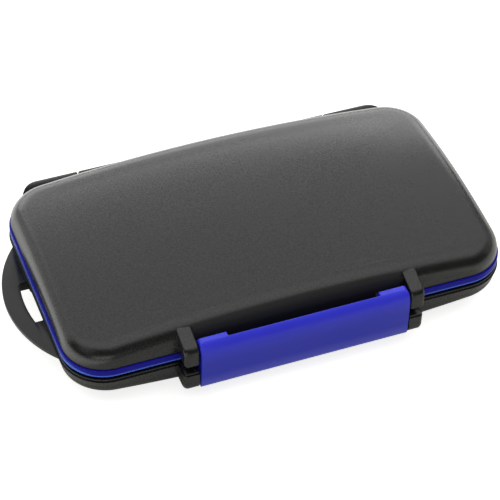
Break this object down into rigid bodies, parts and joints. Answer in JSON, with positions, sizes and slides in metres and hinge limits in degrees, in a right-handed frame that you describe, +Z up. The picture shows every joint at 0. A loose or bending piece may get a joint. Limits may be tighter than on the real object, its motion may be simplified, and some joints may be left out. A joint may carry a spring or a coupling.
{
  "type": "memory card case",
  "caption": "Hard clamshell case for memory cards with crowned black shells, a blue seal band, a wide blue front latch, rear hinges and a lanyard loop at one end.",
  "frame": {"origin": "centre of the flat pad on the underside that the closed case rests on", "axes": "+X along the case, away from the lanyard loop; +Y from the latch to the hinges; +Z up through the lid"},
  "size_m": [0.1148, 0.0718, 0.0224],
  "materials": {
    "shell_black": "fine grained satin black",
    "seal_blue": "smooth dark blue silicone",
    "latch_blue": "semi-gloss blue",
    "tray_blue": "matte blue",
    "pin_steel": "plain drawn steel"
  },
  "bodies": {
    "base": {"base_shell": "shell_black", "base_tray": "tray_blue", "latch_pin": "pin_steel", "hinge_pin_left": "pin_steel", "hinge_pin_right": "pin_steel"},
    "lid": {"lid_shell": "shell_black", "lid_tray": "tray_blue", "seal_ring": "seal_blue"},
    "latch": {"latch": "latch_blue"}
  },
  "joints": [
    {"name": "lid_hinge", "type": "hinge", "parent": "base", "child": "lid", "pos_m": [0, 0.03388, 0.0093], "axis": [-1, 0, 0], "range_deg": [0, 170]},
    {"name": "latch_pivot", "type": "hinge", "parent": "base", "child": "latch", "pos_m": [0, -0.0324, 0.0055], "axis": [1, 0, 0], "range_deg": [0, 95]}
  ]
}
